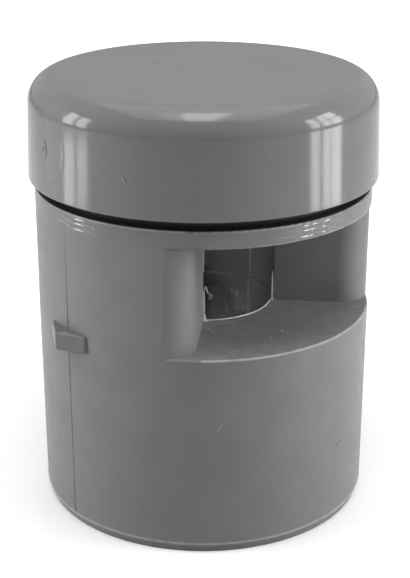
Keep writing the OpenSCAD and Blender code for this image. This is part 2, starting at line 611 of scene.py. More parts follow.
@dataclass(frozen=True)
class MouldedPvc:
    """Rigid grey PVC as it leaves the mould: opaque and even, with the gloss of the mould's own surface.

    The eye sees slow clouds in the grey, a fine grain and the drag lines of the mould's opening. A trimmed
    edge shows the rings of the cutter, a worn one is paler, partly from wear and partly as a painted
    highlight, dust lies where it gathers, and painted shade darkens the neck under the cap and the nibs'
    level tops.
    """

    name: str
    roughness: float
    roughness_spread: float = 0.06
    specular: float = 0.5
    colour: str = "#7a7b7b"
    cloud_colour: str = "#7f8080"
    speck_colour: str = "#a3a4a4"
    ior: float = 1.53
    cloud_mm: float = 7.0
    cloud_range: tuple[float, float] = (0.35, 0.65)
    scuff_range: tuple[float, float] = (0.3, 0.7)
    # The mould's own grain is too fine to show, so it is drawn as coarse as it needs
    grain_mm: float = 0.45
    grain_depth_mm: float = 0.002
    wave_mm: float = 15.0
    wave_depth_mm: float = 0.03
    peel_mm: float = 3.2
    peel_depth_mm: float = 0.003
    drag_mm: float = 0.5
    drag_run_mm: float = 18.0
    drag_depth_mm: float = 0.0008
    speck_mm: float = 2.6
    speck_share: float = 0.045
    speck_strength: float = 0.6
    layers: tuple[Layer, ...] = ()

    def material(self) -> Material:
        """Build the node material.

        Returns:
            The finished material.
        """
        material, tree, shader = blank_material(self.name)
        at = Surface.of(tree)
        colour, rough = self._colour(at), self._roughness(at)
        for layer in self.layers:
            mask = layer.mask(at)
            if layer.roughness is not None:
                ends = {"Value": mask, "To Min": rough, "To Max": layer.roughness}
                rough = add_node(tree, "MapRange", ends).outputs["Result"]
            if layer.colour is not None:
                part = add_node(tree, "Math", {0: mask, 1: layer.share}, operation="MULTIPLY").outputs[0]
                colours = {0: part, MIX_A: colour, MIX_B: linear(layer.colour)}
                colour = add_node(tree, "Mix", colours, data_type="RGBA").outputs[MIX_OUT]
        shader.inputs["IOR"].default_value = self.ior
        shader.inputs["Specular IOR Level"].default_value = self.specular
        tree.links.new(colour, shader.inputs["Base Color"])
        tree.links.new(rough, shader.inputs["Roughness"])
        tree.links.new(self._relief(at), shader.inputs["Normal"])
        return material

    def _colour(self, at: Surface) -> Socket:
        """Return the base colour: slow clouds with a few pale specks.

        Args:
            at: the surface.

        Returns:
            The colour.
        """
        low, high = self.cloud_range
        limits = {"Value": at.noise((self.cloud_mm,) * 3, detail=5.0), "From Min": low, "From Max": high}
        clouds = add_node(at.tree, "MapRange", limits).outputs["Result"]
        colours = {0: clouds, MIX_A: linear(self.colour), MIX_B: linear(self.cloud_colour)}
        grey = add_node(at.tree, "Mix", colours, data_type="RGBA").outputs[MIX_OUT]
        spots = {"Vector": at.place, "Scale": pattern_scale(self.speck_mm)}
        cells = add_node(at.tree, "TexVoronoi", spots).outputs["Distance"]
        limits = {"Value": cells, "From Min": self.speck_share, "From Max": self.speck_share / 2}
        speck = add_node(at.tree, "MapRange", limits | {"To Max": self.speck_strength}).outputs["Result"]
        colours = {0: speck, MIX_A: grey, MIX_B: linear(self.speck_colour)}
        return add_node(at.tree, "Mix", colours, data_type="RGBA").outputs[MIX_OUT]

    def _roughness(self, at: Surface) -> Socket:
        """Return the roughness, scuffed in clouds.

        Args:
            at: the surface.

        Returns:
            The roughness.
        """
        scuffs = at.noise((self.cloud_mm / 3,) * 3, detail=6.0)
        least, most = self.roughness - self.roughness_spread, self.roughness + self.roughness_spread
        low, high = self.scuff_range
        limits = {"Value": scuffs, "From Min": low, "From Max": high, "To Min": least, "To Max": most}
        return add_node(at.tree, "MapRange", limits).outputs["Result"]

    def _relief(self, at: Surface) -> Socket:
        """Return the normal with sink waves, peel, grain and drag lines, and the layers' own relief.

        Args:
            at: the surface.

        Returns:
            The normal.
        """
        drag = (self.drag_mm, self.drag_mm, self.drag_run_mm)
        reliefs = [
            (at.noise((self.wave_mm,) * 3, detail=0.0), self.wave_depth_mm),
            (at.noise((self.peel_mm,) * 3, detail=2.0), self.peel_depth_mm),
            (at.noise((self.grain_mm,) * 3, detail=2.0), self.grain_depth_mm),
            (at.noise(drag, detail=3.0), self.drag_depth_mm),
        ]
        reliefs += [(layer.relief(at), layer.depth_mm) for layer in self.layers if layer.depth_mm]
        normal: dict[str | int, Any] = {}
        for height, depth in reliefs:
            bump = add_node(at.tree, "Bump", {"Height": height, "Distance": depth * MM} | normal)
            normal = {"Normal": bump.outputs["Normal"]}
        return normal["Normal"]


@dataclass(frozen=True)
class MottledFinish:
    """A dull or waxy finish: two close colours in soft patches, under a fine grain."""

    name: str
    colour: str
    patch_colour: str
    roughness: float
    patch_mm: float
    grain_mm: float
    grain_depth_mm: float

    def material(self) -> Material:
        """Build the node material.

        Returns:
            The finished material.
        """
        material, tree, shader = blank_material(self.name)
        place = add_node(tree, "TexCoord").outputs["Object"]
        patches = add_node(
            tree, "TexNoise", {"Vector": place, "Scale": pattern_scale(self.patch_mm), "Detail": 4.0}
        )
        colours = {0: patches.outputs["Fac"], MIX_A: linear(self.colour), MIX_B: linear(self.patch_colour)}
        blend = add_node(tree, "Mix", colours, data_type="RGBA")
        grain = add_node(tree, "TexNoise", {"Vector": place, "Scale": pattern_scale(self.grain_mm)})
        relief = {"Height": grain.outputs["Fac"], "Distance": self.grain_depth_mm * MM}
        bump = add_node(tree, "Bump", relief)
        tree.links.new(blend.outputs[MIX_OUT], shader.inputs["Base Color"])
        tree.links.new(bump.outputs["Normal"], shader.inputs["Normal"])
        shader.inputs["Roughness"].default_value = self.roughness
        return material


@dataclass(frozen=True)
class StressPaledPvcAndHighlight(MottledFinish):
    """PVC of thin flash and crumbs, paled by stress: paler and duller than the moulding; on the beads along
    the window's edges its pale colour is partly a painted highlight.
    """

    name: str = "stress_paled_pvc_flash_and_highlight"
    colour: str = "#c6c7c7"
    patch_colour: str = "#e9eaea"
    roughness: float = 0.45
    patch_mm: float = 0.35
    grain_mm: float = 0.12
    grain_depth_mm: float = 0.004


@dataclass(frozen=True)
class CrumbledPvc(MottledFinish):
    """Torn crumbs of PVC: a little paler than the moulding and dull."""

    name: str = "crumbled_pvc"
    colour: str = "#909191"
    patch_colour: str = "#b0b1b1"
    roughness: float = 0.5
    patch_mm: float = 0.3
    grain_mm: float = 0.12
    grain_depth_mm: float = 0.004


@dataclass(frozen=True)
class CharredPvc(MottledFinish):
    """Charred PVC and soot in specks and scuffs: near black, dull and uneven."""

    name: str = "charred_pvc_specks"
    colour: str = "#3c3c3c"
    patch_colour: str = "#565656"
    roughness: float = 0.6
    patch_mm: float = 0.4
    grain_mm: float = 0.15
    grain_depth_mm: float = 0.006


@dataclass(frozen=True)
class NaturalPolypropylene(MottledFinish):
    """Natural moulded polypropylene of the valve plate: milky, waxy and slightly clouded."""

    name: str = "natural_polypropylene"
    colour: str = "#d3d3cf"
    patch_colour: str = "#dededb"
    roughness: float = 0.38
    patch_mm: float = 4.0
    grain_mm: float = 0.3
    grain_depth_mm: float = 0.002


@dataclass(frozen=True)
class MembraneRubber(MottledFinish):
    """Moulded EPDM rubber of the membrane: near black and dull, with a dusting of pale bloom."""

    name: str = "moulded_epdm_rubber"
    colour: str = "#1d1d1d"
    patch_colour: str = "#3a3a3a"
    roughness: float = 0.62
    patch_mm: float = 3.0
    grain_mm: float = 0.2
    grain_depth_mm: float = 0.004


@dataclass(frozen=True)
class Station:
    """One level section of a drawn-out piece: its middle and its size along X and Y, in millimetres."""

    middle: tuple[float, float, float]
    along_x: float
    along_y: float


def drawn_out(name: str, stations: Sequence[Station]) -> Piece:
    """Draw a flat section out through a row of stations.

    Args:
        name: the piece's name.
        stations: the sections in order.

    Returns:
        The closed piece.
    """
    last = Station(stations[0].middle, 1.0, 1.0)
    bpy.ops.mesh.primitive_plane_add(size=MM, location=mm(*last.middle))
    piece = started(name)
    with editing(piece):
        for number, now in enumerate(stations):
            if number:
                step = mm(*now.middle) - mm(*last.middle)
                bpy.ops.mesh.extrude_region_move(TRANSFORM_OT_translate={"value": step})
            ratio = (now.along_x / last.along_x, now.along_y / last.along_y, 1.0)
            bpy.ops.transform.resize(value=ratio, center_override=mm(*now.middle))
            last = now
    return piece


def soften(piece: Piece, width_mm: float, segments: int = 3) -> None:
    """Round a piece's sharp edges and shade it smooth between them.

    Args:
        piece: the piece to finish.
        width_mm: width of the rounding in millimetres.
        segments: number of faces across the rounding.
    """
    apply_modifier(
        piece, "BEVEL", width=width_mm * MM, segments=segments,
        limit_method="ANGLE", angle_limit=math.radians(ROUND_ANGLE),
    )
    activate(piece)
    bpy.ops.object.shade_smooth_by_angle(angle=math.radians(SHARP_ANGLE))
    apply_modifier(piece, "WEIGHTED_NORMAL", weight=100, keep_sharp=True)


class SubAssembly:
    """Pieces of the housing that are modelled together."""

    def build(self) -> list[Piece]:
        """Model the pieces and return them in order."""
        raise NotImplementedError

    def dress(self, materials: Sequence[Material], pieces: Sequence[Piece]) -> None:
        """Give each piece its finish and let it ride on the housing.

        Args:
            materials: one finish per piece.
            pieces: the pieces in the same order.
        """
        for piece, material in zip(pieces, materials, strict=True):
            dress(piece, material)
            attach(piece, BODY)
            log.info("%s: %d faces on %s", piece.name, len(piece.data.polygons), BODY)


@dataclass
class PartingSeam(SubAssembly):
    """One of the mould's parting lines: a fine ridge up the wall and the stop nib that stands on it."""

    line: PartingLine
    rise: float = 0.09
    root: float = 0.2
    foot: float = 0.44
    crest_share: float = 0.15
    crest_shift: float = -0.06
    nib_skin: float = 0.12
    nib_blunt: float = 0.4
    nib_round: float = 0.3
    nib_root: float = 0.7

    def build(self) -> list[Piece]:
        """Model the ridge below and above the nib, and the nib.

        Returns:
            The ridge and the nib.
        """
        side = self.line.name.lower()
        below = (
            (1.35, 1.9, 1.2), (2.1, 1.6, 1.2), (3, 1.1, 0.9), (9, 1, 0.7), (14.9, 1, 0.7), (15.5, 1.35, 1),
            (16.1, 1, 0.7), (22, 0.95, 0.7), (28.95, 1, 0.8),
        )
        above = (
            (31.45, 1.1, 1.1), (34, 1, 0.9), (36.4, 0.95, 0.6),
            (40, 0.9, 0.35), (45, 0.9, 0.25), (48.6, 0.8, 0.2),
        )
        runs = [self._run(f"ridge_run_{number}", run) for number, run in enumerate((below, above))]
        pieces = [join(runs, f"parting_ridge_{side}"), self._nib(f"stop_nib_{side}")]
        return [turned(piece, self.line.value) for piece in pieces]

    def _run(self, name: str, run: Sequence[tuple[float, float, float]]) -> Piece:
        """Model one run of the ridge on the +X side.

        Args:
            name: the run's name.
            run: heights in millimetres, with the shares of the usual width and rise there.

        Returns:
            The run, steeper on one flank than on the other.
        """
        stations = []
        for z, width, height in run:
            rise = self.rise * height
            middle = (wall_radius(z) + (rise - self.root) / 2, 0, z)
            stations.append(Station(middle, rise + self.root, self.foot * width))
        piece = drawn_out(name, stations)
        with editing(piece, "VERT"):
            pick(piece, lambda vert: vert.co.x > wall_radius(vert.co.z / MM) * MM)
            bpy.ops.transform.resize(value=(1, self.crest_share, 1), center_override=mm(SPIGOT_R, 0, 0))
            bpy.ops.transform.translate(value=mm(0, self.crest_shift, 0))
        return piece

    def _nib(self, name: str) -> Piece:
        """Model the nib on the +X side, a skin over the frame's own: two flanks that end bluntly on the wall.

        Args:
            name: the nib's name.

        Returns:
            The nib with its edges rounded.
        """
        half = NIB_W / 2
        tip = SPIGOT_R + NIB_REACH + self.nib_skin
        spread = math.atan2(half, tip - math.sqrt(SPIGOT_R**2 - half**2) - self.nib_blunt)
        depth = tip - SPIGOT_R + self.nib_root
        # An even triangle is 1.5 radii of its circle deep, and half of it is the sine of 60 degrees wide
        radius = depth / 1.5
        middle = mm(tip - radius, 0, STOP_Z - self.nib_skin)
        quarter = (0, 0, math.radians(-90))
        bpy.ops.mesh.primitive_circle_add(
            vertices=3, radius=radius * MM, fill_type="NGON", location=middle, rotation=quarter
        )
        piece = started(name)
        widen = depth * math.tan(spread) / (radius * math.sin(math.radians(60)))
        with editing(piece):
            bpy.ops.transform.resize(value=(1, widen, 1), center_override=middle)
            height = mm(0, 0, NIB_H + 2 * self.nib_skin)
            bpy.ops.mesh.extrude_region_move(TRANSFORM_OT_translate={"value": height})
            for side in (-1, 1):
                bpy.ops.mesh.select_all(action="SELECT")
                end = mm(0, side * (half + self.nib_skin / 2), 0)
                bpy.ops.mesh.bisect(plane_co=end, plane_no=(0, side, 0), use_fill=True, clear_outer=True)
        soften(piece, self.nib_round)
        return piece


@dataclass
class MouldFlash(SubAssembly):
    """Flash that the mould squeezed out between its cores, round the foot of a window.

    It stands as fins on one rib's inner edge, and runs along the bore's edge and up the next rib as pale
    beads that are partly flash and partly a painted highlight on those edges.
    """

    back: float = -10.6
    round_share: float = 0.3
    bead: float = 0.09
    bead_r: float = 10.29
    bead_span: tuple[float, float] = (-85.0, -5.5)
    bead_sides: int = 8
    bead_steps: int = 48
    bead_ruffle: float = 0.04
    rib_edge: tuple[float, float] = (10.53, -1.02)

    def build(self) -> list[Piece]:
        """Model the flash of the front window and its copy in the rear one.

        Returns:
            The flash of both windows with its highlight beads, and the loose flake in the front one.
        """
        fins = [
            self._sheet("fin", 0.1, (
                (31.7, 1.02, 0.1), (32.0, 1.06, 0.26), (32.5, 1.05, 0.3), (33.0, 1.07, 0.32),
                (33.4, 1.06, 0.28), (33.9, 1.07, 0.31), (34.4, 1.05, 0.26), (34.9, 1.06, 0.27),
                (35.3, 1.02, 0.12),
            )),
            self._sheet("upper_fin", 0.08, (
                (37.6, 0.9, 0.06), (38.6, 0.98, 0.12), (39.4, 1.0, 0.2), (40.6, 1.02, 0.18),
                (42.2, 1.02, 0.16), (44.0, 1.0, 0.14), (46.3, 1.0, 0.12),
            )),
            self._sheet("foot_web", 0.3, (
                (30.4, 1.14, 0.86), (30.8, 1.14, 0.6), (31.2, 1.13, 0.36), (31.75, 1.1, 0.1),
            )),
            # Pale beads along the bore's edge and up the rib: partly flash, partly a painted highlight
            self._edge_bead("bore_bead_and_highlight"),
            self._post_bead("rib_bead_and_highlight"),
        ]
        rear = turned(join([copy_of(fin, f"{fin.name}_copy") for fin in fins], "mould_flash_and_highlight_rear"), 180)
        curl = [
            self._sheet("curl", 0.12, (
                (35.15, 1.06, 0.12), (35.6, 1.2, 0.17), (35.85, 1.32, 0.2), (35.95, 1.38, 0.12),
            )),
            self._sheet("curl_end", 0.13, (
                (34.9, 1.66, 0.1), (35.25, 1.54, 0.17), (35.6, 1.44, 0.18), (35.9, 1.36, 0.14),
            )),
        ]
        flake = self._sheet("flash_flake", 0.05, (
            (33.9, 1.95, 0.24), (34.1, 2.02, 0.56), (34.4, 2.06, 0.74), (34.7, 2.0, 0.7), (34.9, 1.84, 0.5),
            (35.05, 1.66, 0.2),
        ))
        return [join(fins + curl, "mould_flash_and_highlight_front"), rear, flake]

    def _edge_bead(self, name: str) -> Piece:
        """Model the ragged bead along the bore's edge, from one rib's foot to the next: partly flash, partly
        a painted highlight on the edge.

        Args:
            name: the bead's name.

        Returns:
            The bead.
        """
        start, end = self.bead_span
        bpy.ops.mesh.primitive_circle_add(
            vertices=self.bead_sides, radius=self.bead * MM, fill_type="NGON",
            location=around(self.bead_r, start, WINDOW_FLOOR_Z),
            rotation=(math.radians(90), 0, math.radians(start)),
        )
        piece = started(name)
        with editing(piece):
            turn = math.radians(start - end)
            bpy.ops.mesh.spin(steps=self.bead_steps, angle=turn, center=(0, 0, 0), axis=(0, 0, 1))
            bpy.ops.mesh.select_all(action="SELECT")
            bpy.ops.transform.vertex_random(offset=self.bead_ruffle * MM, uniform=0.5, normal=0.5, seed=3)
        bpy.ops.object.shade_smooth_by_angle(angle=math.radians(SHARP_ANGLE))
        return piece

    def _post_bead(self, name: str) -> Piece:
        """Model the bead that climbs the next rib's inner edge and thins out: partly flash, partly a painted
        highlight on the edge.

        Args:
            name: the bead's name.

        Returns:
            The bead.
        """
        rows = (
            (30.4, 0.4), (30.8, 0.3), (31.4, 0.24), (32.2, 0.27), (33.0, 0.22), (33.8, 0.22), (34.5, 0.15),
            (35.2, 0.06),
        )
        piece = drawn_out(name, [Station((*self.rib_edge, z), width, width) for z, width in rows])
        soften(piece, self.round_share * min(width for _, width in rows), segments=2)
        return piece

    def _sheet(self, name: str, thickness: float, rows: Sequence[tuple[float, float, float]]) -> Piece:
        """Model one upright scrap of flash.

        Args:
            name: the scrap's name.
            thickness: thickness along Y in millimetres.
            rows: height, middle along X and width of each row, in millimetres.

        Returns:
            The scrap with softened edges.
        """
        piece = drawn_out(name, [Station((x, self.back, z), width, thickness) for z, x, width in rows])
        thinnest = min(thickness, *(width for _, _, width in rows))
        soften(piece, self.round_share * thinnest, segments=2)
        return piece


@dataclass
class CoreLinesAndHighlight(SubAssembly):
    """Fine raised lines that a scored core left up the chamber and the well, opposite each window, coloured
    pale as a painted highlight.
    """

    azimuth: float = 51.5
    width: float = 0.45
    rise: float = 0.03
    root: float = 0.1
    runs: tuple[tuple[float, float, float], ...] = ((10.25, 20.6, 30.3), (10.6, 30.7, 46.2))

    def build(self) -> list[Piece]:
        """Model one line and its copy on the other side.

        Returns:
            Both lines as one piece.
        """
        runs = []
        for number, (radius, low, high) in enumerate(self.runs):
            middle = radius + (self.root - self.rise) / 2
            levels = [low + (high - low) * share for share in (0, 0.15, 0.4, 0.6, 0.85, 1)]
            widths = [self.width * share for share in (0.6, 1, 0.9, 1.1, 0.9, 0.5)]
            stations = [Station((middle, 0, z), self.rise + self.root, w) for z, w in zip(levels, widths)]
            runs.append(drawn_out(f"core_run_{number}", stations))
        line = turned(join(runs, "core_line"), self.azimuth)
        soften(line, self.rise / 2, segments=2)
        return [join([line, turned(copy_of(line, "core_line_copy"), 180)], "core_lines_and_highlight")]


@dataclass(frozen=True)
class Mark:
    """A crumb or a raised scratch: where it lies, which way it runs and its size, all in millimetres."""

    place: tuple[float, float, float]
    along: tuple[float, float, float]
    out: tuple[float, float, float]
    size: tuple[float, float, float]


@dataclass
class Litter(SubAssembly):
    """Crumbs of flash in the window, and the nicks, specks and scratches of handling on the outside, with
    pale slivers of painted highlight and a dark dot of painted shade in the gate's dimple.
    """

    ruffle: float = 0.09
    sunk: float = -0.12
    sharp_angle: float = 40.0
    # Width and height of a crumb on the floor, as shares of its length
    crumb_shares: tuple[float, float] = (0.7, 0.6)

    def build(self) -> list[Piece]:
        """Model one crumb and copy it to each place.

        Returns:
            The pale and the dark marks.
        """
        crumb = self._crumb()
        pale = self._strew(crumb, self._floor_crumbs() + self._pale_marks(), "pale_crumbs_nicks_and_highlights")
        dark = self._strew(crumb, self._dark_marks(), "dark_specks_scuffs_and_shade")
        bpy.data.objects.remove(crumb)
        return [pale, dark]

    def _crumb(self) -> Piece:
        """Model a lumpy crumb, a millimetre across, with a flat underside just below the surface.

        Returns:
            The crumb.
        """
        bpy.ops.mesh.primitive_ico_sphere_add(subdivisions=2, radius=MM / 2)
        piece = started("crumb")
        with editing(piece, "VERT"):
            bpy.ops.transform.vertex_random(offset=self.ruffle * MM, uniform=0.6, normal=0.4, seed=7)
            bpy.ops.mesh.select_all(action="SELECT")
            below = mm(0, 0, self.sunk)
            bpy.ops.mesh.bisect(plane_co=below, plane_no=(0, 0, 1), use_fill=True, clear_inner=True)
        bpy.ops.object.shade_smooth_by_angle(angle=math.radians(self.sharp_angle))
        return piece

    def _strew(self, crumb: Piece, marks: Sequence[Mark], name: str) -> Piece:
        """Copy the crumb to each mark and join the copies.

        Args:
            crumb: the crumb to copy.
            marks: what to lay down.
            name: name of the joined piece.

        Returns:
            The joined piece.
        """
        copies = []
        for number, mark in enumerate(marks):
            piece = copy_of(crumb, f"crumb_{number}")
            lay(piece, mm(*mark.place), Vector(mark.along), Vector(mark.out), mark.size)
            copies.append(piece)
        return join(copies, name)

    def _floor_crumbs(self) -> list[Mark]:
        """List the crumbs on the window's floor.

        Returns:
            The crumbs.
        """
        rows = (
            (2.01, -13.47, 0.34, 20), (2.62, -14.54, 0.42, 70), (10.21, -16.74, 0.26, 10),
            (11.16, -15.93, 0.42, 120), (12.6, -13.2, 0.46, 35), (13.33, -13.51, 0.3, 80),
            (15.11, -1.2, 0.36, 5), (17.68, -1.1, 0.34, 160), (1.1, -13.22, 0.32, 90),
            (1.15, -15.79, 0.3, 60), (6.3, -17.6, 0.2, 15), (14.3, -1.35, 0.4, 170),
            (15.7, -1.75, 0.34, 20), (16.5, -1.7, 0.26, 60), (13.2, -1.1, 0.3, 5),
            (12.3, -1.05, 0.26, 175), (18.6, -1.15, 0.2, 15), (21.0, -5.9, 0.24, 165),
            (20.5, -5.8, 0.2, 20), (0.2, -21.9, 0.34, 60),
        )
        wide, high = self.crumb_shares
        marks = []
        for x, y, size, turn in rows:
            along = (math.cos(math.radians(turn)), math.sin(math.radians(turn)), 0)
            marks.append(Mark((x, y, WINDOW_FLOOR_Z), along, (0, 0, 1), (size, size * wide, size * high)))
        return marks

    def _on_wall(
        self, radius: float, azimuth: float, z: float, lean: float, size: tuple[float, float, float]
    ) -> Mark:
        """Return a mark on an upright round wall.

        Args:
            radius: the wall's radius in millimetres.
            azimuth: direction of the mark in degrees from +X.
            z: height in millimetres.
            lean: how far the mark's length leans from upright, in degrees to the right.
            size: length, width and height in millimetres.

        Returns:
            The mark.
        """
        turn, tilt = math.radians(azimuth), math.radians(lean)
        out = (math.cos(turn), math.sin(turn), 0)
        along = (-math.sin(turn) * math.sin(tilt), math.cos(turn) * math.sin(tilt), math.cos(tilt))
        return Mark((radius * out[0], radius * out[1], z), along, out, size)

    def _pale_marks(self) -> list[Mark]:
        """List the pale nicks and scratches on the outside, the specks on the rib's edge, and two pale
        slivers that are painted highlights.

        Returns:
            The marks.
        """
        top = (0, 0, 1)
        return [
            self._on_wall(wall_radius(20), -79.2, 20.2, 26, (1.3, 0.14, 0.08)),
            self._on_wall(cap_radius(55.6), -108.6, 55.6, -22, (0.9, 0.14, 0.07)),
            self._on_wall(wall_radius(48.9), -99.0, 48.75, 90, (0.3, 0.2, 0.12)),
            self._on_wall(wall_radius(48.9), -87.0, 48.7, 90, (0.3, 0.2, 0.12)),
            self._on_wall(wall_radius(44.0), -99.5, 44.0, 20, (0.22, 0.2, 0.08)),
            self._on_wall(wall_radius(37.0), -108.1, 37.04, 20, (0.22, 0.2, 0.08)),
            self._on_wall(wall_radius(31.5), -112.4, 31.5, 80, (0.2, 0.2, 0.08)),
            self._on_wall(wall_radius(9.1), -109.3, 9.13, 10, (0.24, 0.22, 0.08)),
            Mark((23.75, 0.75, WINDOW_FLOOR_Z), (0.8, 0.62, 0), top, (1.3, 0.26, 0.3)),
            # Painted highlights: a pale sliver at the jamb's foot, and one along the nib's top front edge
            Mark((-0.7, -22.9, WINDOW_FLOOR_Z), (0.8, 0.5, 0), top, (1.1, 0.2, 0.22)),
            Mark((-18.05, -19.3, 31.5), (1, -0.24, 0), (-0.4, -0.5, 0.8), (1.5, 0.16, 0.1)),
            Mark((0.86, -10.66, 40.9), top, (0.7, -0.7, 0), (0.5, 0.3, 0.3)),
            Mark((0.86, -10.66, 40.1), top, (0.7, -0.7, 0), (0.6, 0.26, 0.26)),
            Mark((-11.48, -1.38, CAP_TOP_Z), (1, 0.3, 0), top, (0.5, 0.3, 0.1)),
            Mark((-7.41, -5.72, CAP_TOP_Z), (0.4, 1, 0), top, (0.45, 0.25, 0.1)),
        ]

    def _dark_marks(self) -> list[Mark]:
        """List the dark specks and scuffs on the outside, and a dark dot of painted shade in the gate's
        dimple.

        Returns:
            The marks.
        """
        top = (0, 0, 1)
        return [
            self._on_wall(wall_radius(12.7), -31.9, 12.75, 64, (1.5, 0.16, 0.06)),
            self._on_wall(cap_radius(55.5), -107.9, 55.55, -22, (1.0, 0.16, 0.05)),
            # Painted shade: a dark dot in the gate stub's dimple
            self._on_wall(cap_radius(57.0), -143.6, 57.0, 0, (0.7, 0.5, 0.08)),
            Mark((-7.55, 3.95, CAP_TOP_Z), (1, 0.2, 0), top, (0.5, 0.3, 0.06)),
            Mark((-4.15, 1.42, CAP_TOP_Z), (0.8, 1, 0), top, (0.4, 0.3, 0.06)),
        ]


@dataclass
class TurnedRings(SubAssembly):
    """Fine raised rings that a trimming cutter left round the top of the housing, in short broken arcs.

    Arcs are the middle and half the spread of each run, in degrees from +X.
    """

    heights: tuple[float, ...] = (46.98, 47.26, 47.47, 47.8, 48.02, 48.25, 48.46)
    arcs: tuple[tuple[float, float], ...] = ((-128.0, 8.0), (-47.0, 11.0), (52.0, 8.0), (133.0, 11.0))
    crest: float = 0.07
    root: float = 0.03
    spread: float = 2.3
    steps: int = 240
    sharp_angle: float = 12.0
    # Every third ring is narrower
    narrow_every: int = 3
    narrow: float = 0.7
    # Each ring's gaps: how far they shift, and how often and how much of the crest is worn away
    shift: float = 2.5
    shift_phase: float = 2.2
    worn_turns: float = 37.0
    worn_phase: float = 1.9
    worn_above: float = 0.6

    def build(self) -> list[Piece]:
        """Model one ring, copy it to each height and sink its crest outside the arcs.

        Returns:
            The rings as one piece.
        """
        ring = self._ring()
        copies = []
        for number, z in enumerate(self.heights):
            piece = copy_of(ring, f"turned_ring_{number}")
            self._break(piece, number)
            size = wall_radius(z) / wall_radius(SHOULDER_Z)
            piece.scale = (size, size, 1.0 if number % self.narrow_every else self.narrow)
            piece.location.z = z * MM
            settle(piece)
            copies.append(piece)
        bpy.data.objects.remove(ring)
        return [join(copies, "turned_rings")]

    def _ring(self) -> Piece:
        """Model a low ring about the axis, its root below the wall's surface.

        Returns:
            The ring.
        """
        radius = wall_radius(SHOULDER_Z) - self.root
        bpy.ops.mesh.primitive_torus_add(
            major_segments=self.steps, minor_segments=4,
            major_radius=radius * MM, minor_radius=(self.crest + self.root) * MM,
        )
        piece = started("turned_ring")
        with editing(piece, "VERT"):
            bpy.ops.transform.resize(value=(1, 1, self.spread), center_override=(0, 0, 0))
        bpy.ops.object.shade_smooth_by_angle(angle=math.radians(self.sharp_angle))
        return piece

    def _break(self, piece: Piece, number: int) -> None:
        """Sink a ring's crest into the wall wherever the cutter left none.

        Args:
            piece: the ring.
            number: place of the ring in the row, which shifts its gaps.
        """
        radius = wall_radius(SHOULDER_Z) - self.root
        sunk = (radius - self.root) / (radius + self.crest + self.root)

        def missing(vert: bmesh.types.BMVert) -> bool:
            """Say whether the crest is missing at a point.

            Args:
                vert: point of the ring.

            Returns:
                True if it is on the crest, and is worn away or outside the arcs.
            """
            turn = math.degrees(math.atan2(vert.co.y, vert.co.x))
            shift = self.shift * math.sin(self.shift_phase * number)
            inside = any(abs(turn - middle - shift) < half for middle, half in self.arcs)
            worn = math.sin(math.radians(self.worn_turns * turn) + self.worn_phase * number) > self.worn_above
            return vert.co.xy.length > radius * MM and (worn or not inside)

        with editing(piece, "VERT"):
            pick(piece, missing)
            bpy.ops.transform.resize(value=(sunk, sunk, 1), center_override=(0, 0, 0))


@dataclass
class GateMark(SubAssembly):
    """Stub of the gate that fed the cap's mould: a low oval rim round a torn dimple."""

    azimuth: float = -143.6
    z: float = 57.0
    length: float = 2.8
    width: float = 1.7
    rise: float = 0.07
    root: float = 0.15
    rim: float = 0.16
    dimple_depth: float = 0.8
    dimple_size: float = 0.4
    dimple_shift: float = 0.05
    edge_round: float = 0.05
    sides: int = 28

    def build(self) -> list[Piece]:
        """Model the stub on the cap's side.

        Returns:
            The stub.
        """
        below = mm(0, 0, -self.root)
        bpy.ops.mesh.primitive_circle_add(
            vertices=self.sides, radius=MM / 2, fill_type="NGON", location=below
        )
        piece = started("gate_stub")
        with editing(piece):
            height = mm(0, 0, self.root + self.rise)
            bpy.ops.mesh.extrude_region_move(TRANSFORM_OT_translate={"value": height})
            bpy.ops.mesh.inset(thickness=self.rim * MM)
            dimple = mm(0, 0, -self.rise * self.dimple_depth)
            bpy.ops.mesh.extrude_region_move(TRANSFORM_OT_translate={"value": dimple})
            ratio = (self.dimple_size, self.dimple_size, 1)
            bpy.ops.transform.resize(value=ratio, center_override=mm(self.dimple_shift, 0, 0))
        soften(piece, self.edge_round)
        turn = math.radians(self.azimuth)
        out = Vector((math.cos(turn), math.sin(turn), 0))
        place = around(cap_radius(self.z), self.azimuth, self.z)
        lay(piece, place, Vector((0, 0, 1)), out, (self.length, self.width, 1.0))
        return [piece]


@dataclass
class Softbox:
    """A plain rectangular studio light that the camera doesn't see.

    Sizes and places are in millimetres, brightness is the share of a white background's, and spread is
    the angle in degrees that a grid leaves to the light.
    """

    name: str
    centre: tuple[float, float, float]
    target: tuple[float, float, float]
    width: float
    height: float
    brightness: float
    shine: Shine = Shine.FULL
    spread: float = 180.0

    def build(self) -> Piece:
        """Add the light, aimed at its target.

        Returns:
            The light object.
        """
        bpy.ops.object.light_add(type="AREA", location=mm(*self.centre))
        light = bpy.context.object
        light.name = self.name
        light.data.shape = "RECTANGLE"
        light.data.size = self.width * MM
        light.data.size_y = self.height * MM
        light.data.spread = math.radians(self.spread)
        light.data.energy = self.brightness * math.pi * self.width * self.height * MM**2
        aim = mm(*self.target) - light.location
        light.rotation_euler = aim.to_track_quat("-Z", "Y").to_euler()
        light.visible_camera = False
        light.visible_glossy = self.shine is not Shine.SOFT
        light.visible_diffuse = self.shine is not Shine.HIGHLIGHT
        return light


